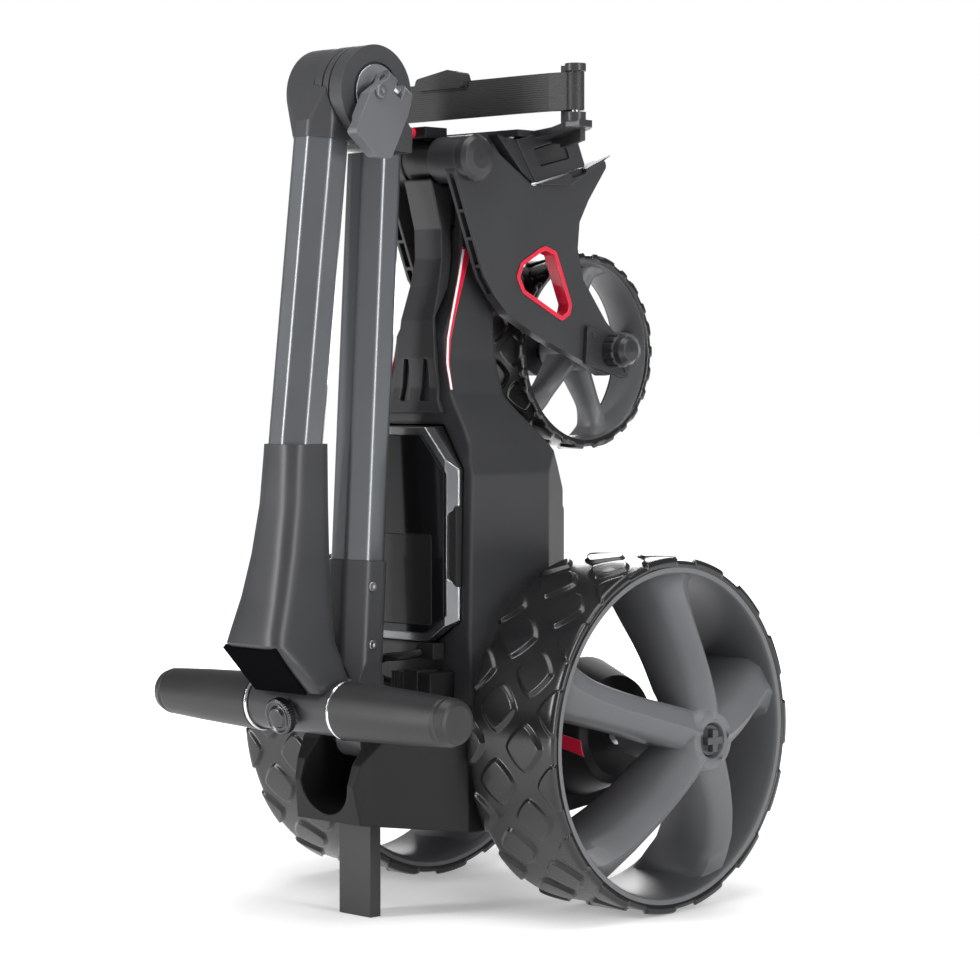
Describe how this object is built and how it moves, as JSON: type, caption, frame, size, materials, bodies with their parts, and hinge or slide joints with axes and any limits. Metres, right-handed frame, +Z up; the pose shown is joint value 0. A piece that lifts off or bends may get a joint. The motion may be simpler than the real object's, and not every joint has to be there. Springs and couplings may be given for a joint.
{
  "type": "electric golf trolley",
  "caption": "Compact electric golf trolley, folded: hub-driven rear wheels, front wheel on a folding fork, two-part handle with cross bar and dial, battery bay, bag cradle and strap.",
  "frame": {"origin": "on the ground below the middle of the folded trolley's bounding box", "axes": "+X along the rear axle to the right-hand wheel, -Y to the handle side, +Z up as it stands folded"},
  "size_m": [0.404, 0.4063, 0.626],
  "materials": {
    "shell_plastic": "satin textured charcoal",
    "dark_plastic": "satin black",
    "gloss_black": "gloss black",
    "tube_paint": "metallic graphite",
    "wheel_grey": "satin graphite",
    "tread_rubber": "semi-gloss black rubber",
    "grip_rubber": "soft black grip",
    "red_trim": "gloss red",
    "silver_trim": "polished",
    "bare_steel": "turned",
    "bare_aluminium": "satin",
    "cast_metal": "satin graphite cast",
    "cable": "satin black jacket"
  },
  "bodies": {
    "chassis": {"chassis_shell": "shell_plastic", "rear_cover": "shell_plastic", "neck_spine": "shell_plastic", "neck_core": "dark_plastic", "red_lines": "red_trim", "axle_housing": "shell_plastic", "foot": "shell_plastic", "motor_left": "bare_steel", "motor_right": "bare_steel", "gearbox_left": "dark_plastic", "gearbox_right": "dark_plastic", "axle_bearings": "bare_steel", "lead_socket": "dark_plastic", "fold_button_housing": "dark_plastic", "handle_pivot_pin": "bare_steel", "battery_case": "gloss_black", "battery_frame": "silver_trim", "battery_grips": "dark_plastic", "battery_label": "gloss_black", "lead_gland": "dark_plastic", "battery_lead": "cable", "lead_plug": "dark_plastic"},
    "wheel_left": {"rim_left": "wheel_grey", "tyre_left": "tread_rubber", "drive_shaft_left": "bare_steel"},
    "wheel_right": {"rim_right": "wheel_grey", "tyre_right": "tread_rubber", "drive_shaft_right": "bare_steel"},
    "hub_button_left": {"hub_button_left": "wheel_grey"},
    "hub_button_right": {"hub_button_right": "wheel_grey"},
    "lower_handle": {"lower_tube": "tube_paint", "lower_bracket": "dark_plastic", "bracket_screws": "bare_steel", "lower_knuckle": "dark_plastic", "fold_bolt": "bare_steel"},
    "cam_lever": {"cam_lever": "cast_metal"},
    "upper_handle": {"upper_tube": "tube_paint", "upper_knuckle": "dark_plastic", "handle_housing": "shell_plastic", "bar_collar": "shell_plastic", "display_panel": "gloss_black", "cross_bar": "bare_aluminium", "grip_left": "grip_rubber", "grip_right": "grip_rubber", "grip_rings": "silver_trim"},
    "dial_stem": {"dial_stem": "bare_steel"},
    "speed_dial": {"speed_dial": "silver_trim"},
    "fork": {"fork_frame": "cast_metal", "fork_hole_trims": "red_trim", "fork_pivot_pin": "bare_steel", "fork_end_caps": "dark_plastic", "wheel_axle": "bare_steel", "bag_cradle": "dark_plastic", "cradle_inserts": "dark_plastic", "strap_pins": "bare_steel", "bag_strap": "grip_rubber"},
    "front_wheel": {"front_rim": "wheel_grey", "front_tyre": "tread_rubber"},
    "tracking_knob": {"tracking_knob": "dark_plastic"},
    "fold_button": {"fold_button": "red_trim"}
  },
  "joints": [
    {"name": "wheel_left_spin", "type": "hinge", "parent": "chassis", "child": "wheel_left", "pos_m": [-0.12, 0.06345, 0.13], "axis": [1, 0, 0], "continuous": true},
    {"name": "wheel_right_spin", "type": "hinge", "parent": "chassis", "child": "wheel_right", "pos_m": [0.12, 0.06345, 0.13], "axis": [1, 0, 0], "continuous": true},
    {"name": "hub_button_left_push", "type": "slide", "parent": "wheel_left", "child": "hub_button_left", "axis": [1, 0, 0], "range_m": [0, 0.003], "stiffness_N_per_m": 400},
    {"name": "hub_button_right_push", "type": "slide", "parent": "wheel_right", "child": "hub_button_right", "axis": [-1, 0, 0], "range_m": [0, 0.003], "stiffness_N_per_m": 400},
    {"name": "handle_raise", "type": "hinge", "parent": "chassis", "child": "lower_handle", "pos_m": [0, -0.09455, 0.128], "axis": [1, 0, 0], "range_deg": [0, 118]},
    {"name": "handle_unfold", "type": "hinge", "parent": "lower_handle", "child": "upper_handle", "pos_m": [0, -0.10555, 0.592], "axis": [1, 0, 0], "range_deg": [-177, 0]},
    {"name": "clamp_lever", "type": "hinge", "parent": "lower_handle", "child": "cam_lever", "pos_m": [0.0375, -0.09715, 0.5942], "axis": [0, -0.8348, 0.5505], "range_deg": [0, 110]},
    {"name": "dial_push", "type": "slide", "parent": "upper_handle", "child": "dial_stem", "axis": [0, 0.9781, 0.2079], "range_m": [0, 0.0015], "stiffness_N_per_m": 500},
    {"name": "dial_turn", "type": "hinge", "parent": "dial_stem", "child": "speed_dial", "pos_m": [0, -0.16613, 0.15205], "axis": [0, -0.9781, -0.2079], "continuous": true},
    {"name": "fork_fold", "type": "hinge", "parent": "chassis", "child": "fork", "pos_m": [0, -0.02455, 0.549], "axis": [1, 0, 0], "range_deg": [0, 90]},
    {"name": "front_wheel_spin", "type": "hinge", "parent": "fork", "child": "front_wheel", "pos_m": [0, 0.12715, 0.41], "axis": [1, 0, 0], "continuous": true},
    {"name": "tracking_turn", "type": "hinge", "parent": "fork", "child": "tracking_knob", "pos_m": [0.05, 0.12715, 0.41], "axis": [1, 0, 0], "range_deg": [-90, 90]},
    {"name": "fold_button_push", "type": "slide", "parent": "chassis", "child": "fold_button", "axis": [0, 1, 0], "range_m": [0, 0.0022], "stiffness_N_per_m": 400}
  ],
  "couplings": [
    {"joint": "handle_unfold", "follows": "handle_raise", "ratio": -1.5},
    {"joint": "fork_fold", "follows": "handle_raise", "ratio": 0.7627}
  ]
}
